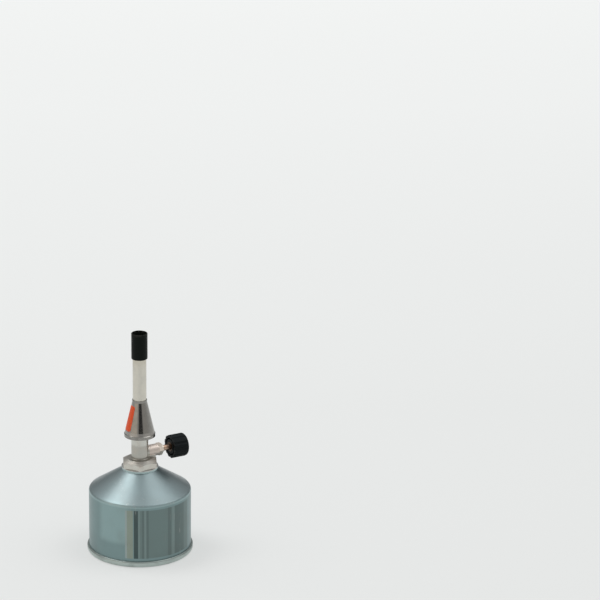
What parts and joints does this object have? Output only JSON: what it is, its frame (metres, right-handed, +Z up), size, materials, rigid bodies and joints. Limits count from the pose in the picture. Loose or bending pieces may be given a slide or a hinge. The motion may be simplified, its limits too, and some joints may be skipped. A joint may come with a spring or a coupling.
{
  "type": "cartridge gas burner",
  "caption": "Laboratory gas burner with needle valve, turning air bell and flame head, screwed upright onto a round gas cartridge that serves as its foot.",
  "frame": {"origin": "middle of the seam that the cartridge stands on, at the surface it stands on", "axes": "+Z up the burner's axis, +X along the valve spindle towards the knob"},
  "size_m": [0.0936, 0.0936, 0.2015],
  "materials": {
    "can_paint": "glossy printed tinplate",
    "can_seam": "glossy printed tinplate, folded seam",
    "tinplate": "bright tinplate",
    "white_plastic": "matte",
    "rubber": "matte",
    "brass": "turned",
    "spring_steel": "bright",
    "sintered_bronze": "porous",
    "nickel": "nickel-plated, satin",
    "nickel_nut": "nickel-plated, bright",
    "copper_stem": "turned, tarnished",
    "knob_black": "moulded, satin gloss",
    "dark_bronze": "tarnished",
    "black_steel": "blackened",
    "copper_washer": "soft copper",
    "tube_steel": "satin, nickel-plated",
    "bell_chrome": "polished",
    "head_black": "glossy black",
    "grid_steel": "heat-darkened"
  },
  "bodies": {
    "cartridge": {"cartridge_shell": "can_paint", "cartridge_base": "can_seam", "valve_cup": "tinplate", "spring_housing": "white_plastic", "valve_gasket": "rubber", "plunger_spring": "spring_steel"},
    "cartridge_valve": {"valve_plunger": "brass"},
    "coupling": {"coupling_seal": "rubber"},
    "burner": {"valve_body": "nickel", "depressor": "brass", "inlet_filter": "sintered_bronze", "gland_packing": "white_plastic", "gland_nut": "nickel_nut", "jet": "brass", "jet_washer": "copper_washer", "burner_tube": "tube_steel", "stop_pin": "spring_steel", "burner_head": "head_black", "flame_grid": "grid_steel"},
    "spindle_ring": {"spindle_stop_ring": "spring_steel"},
    "gas_control": {"needle_spindle": "copper_stem", "control_knob": "knob_black", "knob_insert": "dark_bronze", "knob_grub_screw": "black_steel"},
    "air_control": {"air_sleeve": "tube_steel", "air_bell": "bell_chrome"}
  },
  "joints": [
    {"name": "burner_lift", "type": "slide", "parent": "cartridge", "child": "coupling", "axis": [0, 0, 1], "range_m": [0, 0.00545]},
    {"name": "burner_screw", "type": "hinge", "parent": "coupling", "child": "burner", "pos_m": [0, 0, 0.0786], "axis": [0, 0, 1], "range_deg": [0, 2160]},
    {"name": "plunger_lift", "type": "slide", "parent": "cartridge", "child": "cartridge_valve", "axis": [0, 0, 1], "range_m": [0, 0.0015], "deforming": ["plunger_spring"]},
    {"name": "needle_feed", "type": "slide", "parent": "burner", "child": "spindle_ring", "axis": [1, 0, 0], "range_m": [-0.00101, 0.00101]},
    {"name": "knob_turn", "type": "hinge", "parent": "spindle_ring", "child": "gas_control", "pos_m": [0.03, 0, 0.0903], "axis": [1, 0, 0], "range_deg": [-450, 450]},
    {"name": "air_turn", "type": "hinge", "parent": "burner", "child": "air_control", "pos_m": [0, 0, 0.124], "axis": [0, 0, 1], "range_deg": [0, 90]}
  ],
  "couplings": [
    {"joint": "burner_lift", "follows": "burner_screw", "m_per_rad": 0.00014435},
    {"joint": "plunger_lift", "follows": "burner_screw", "m_per_rad": 0.00003975},
    {"joint": "needle_feed", "follows": "knob_turn", "m_per_rad": 0.00012732}
  ]
}
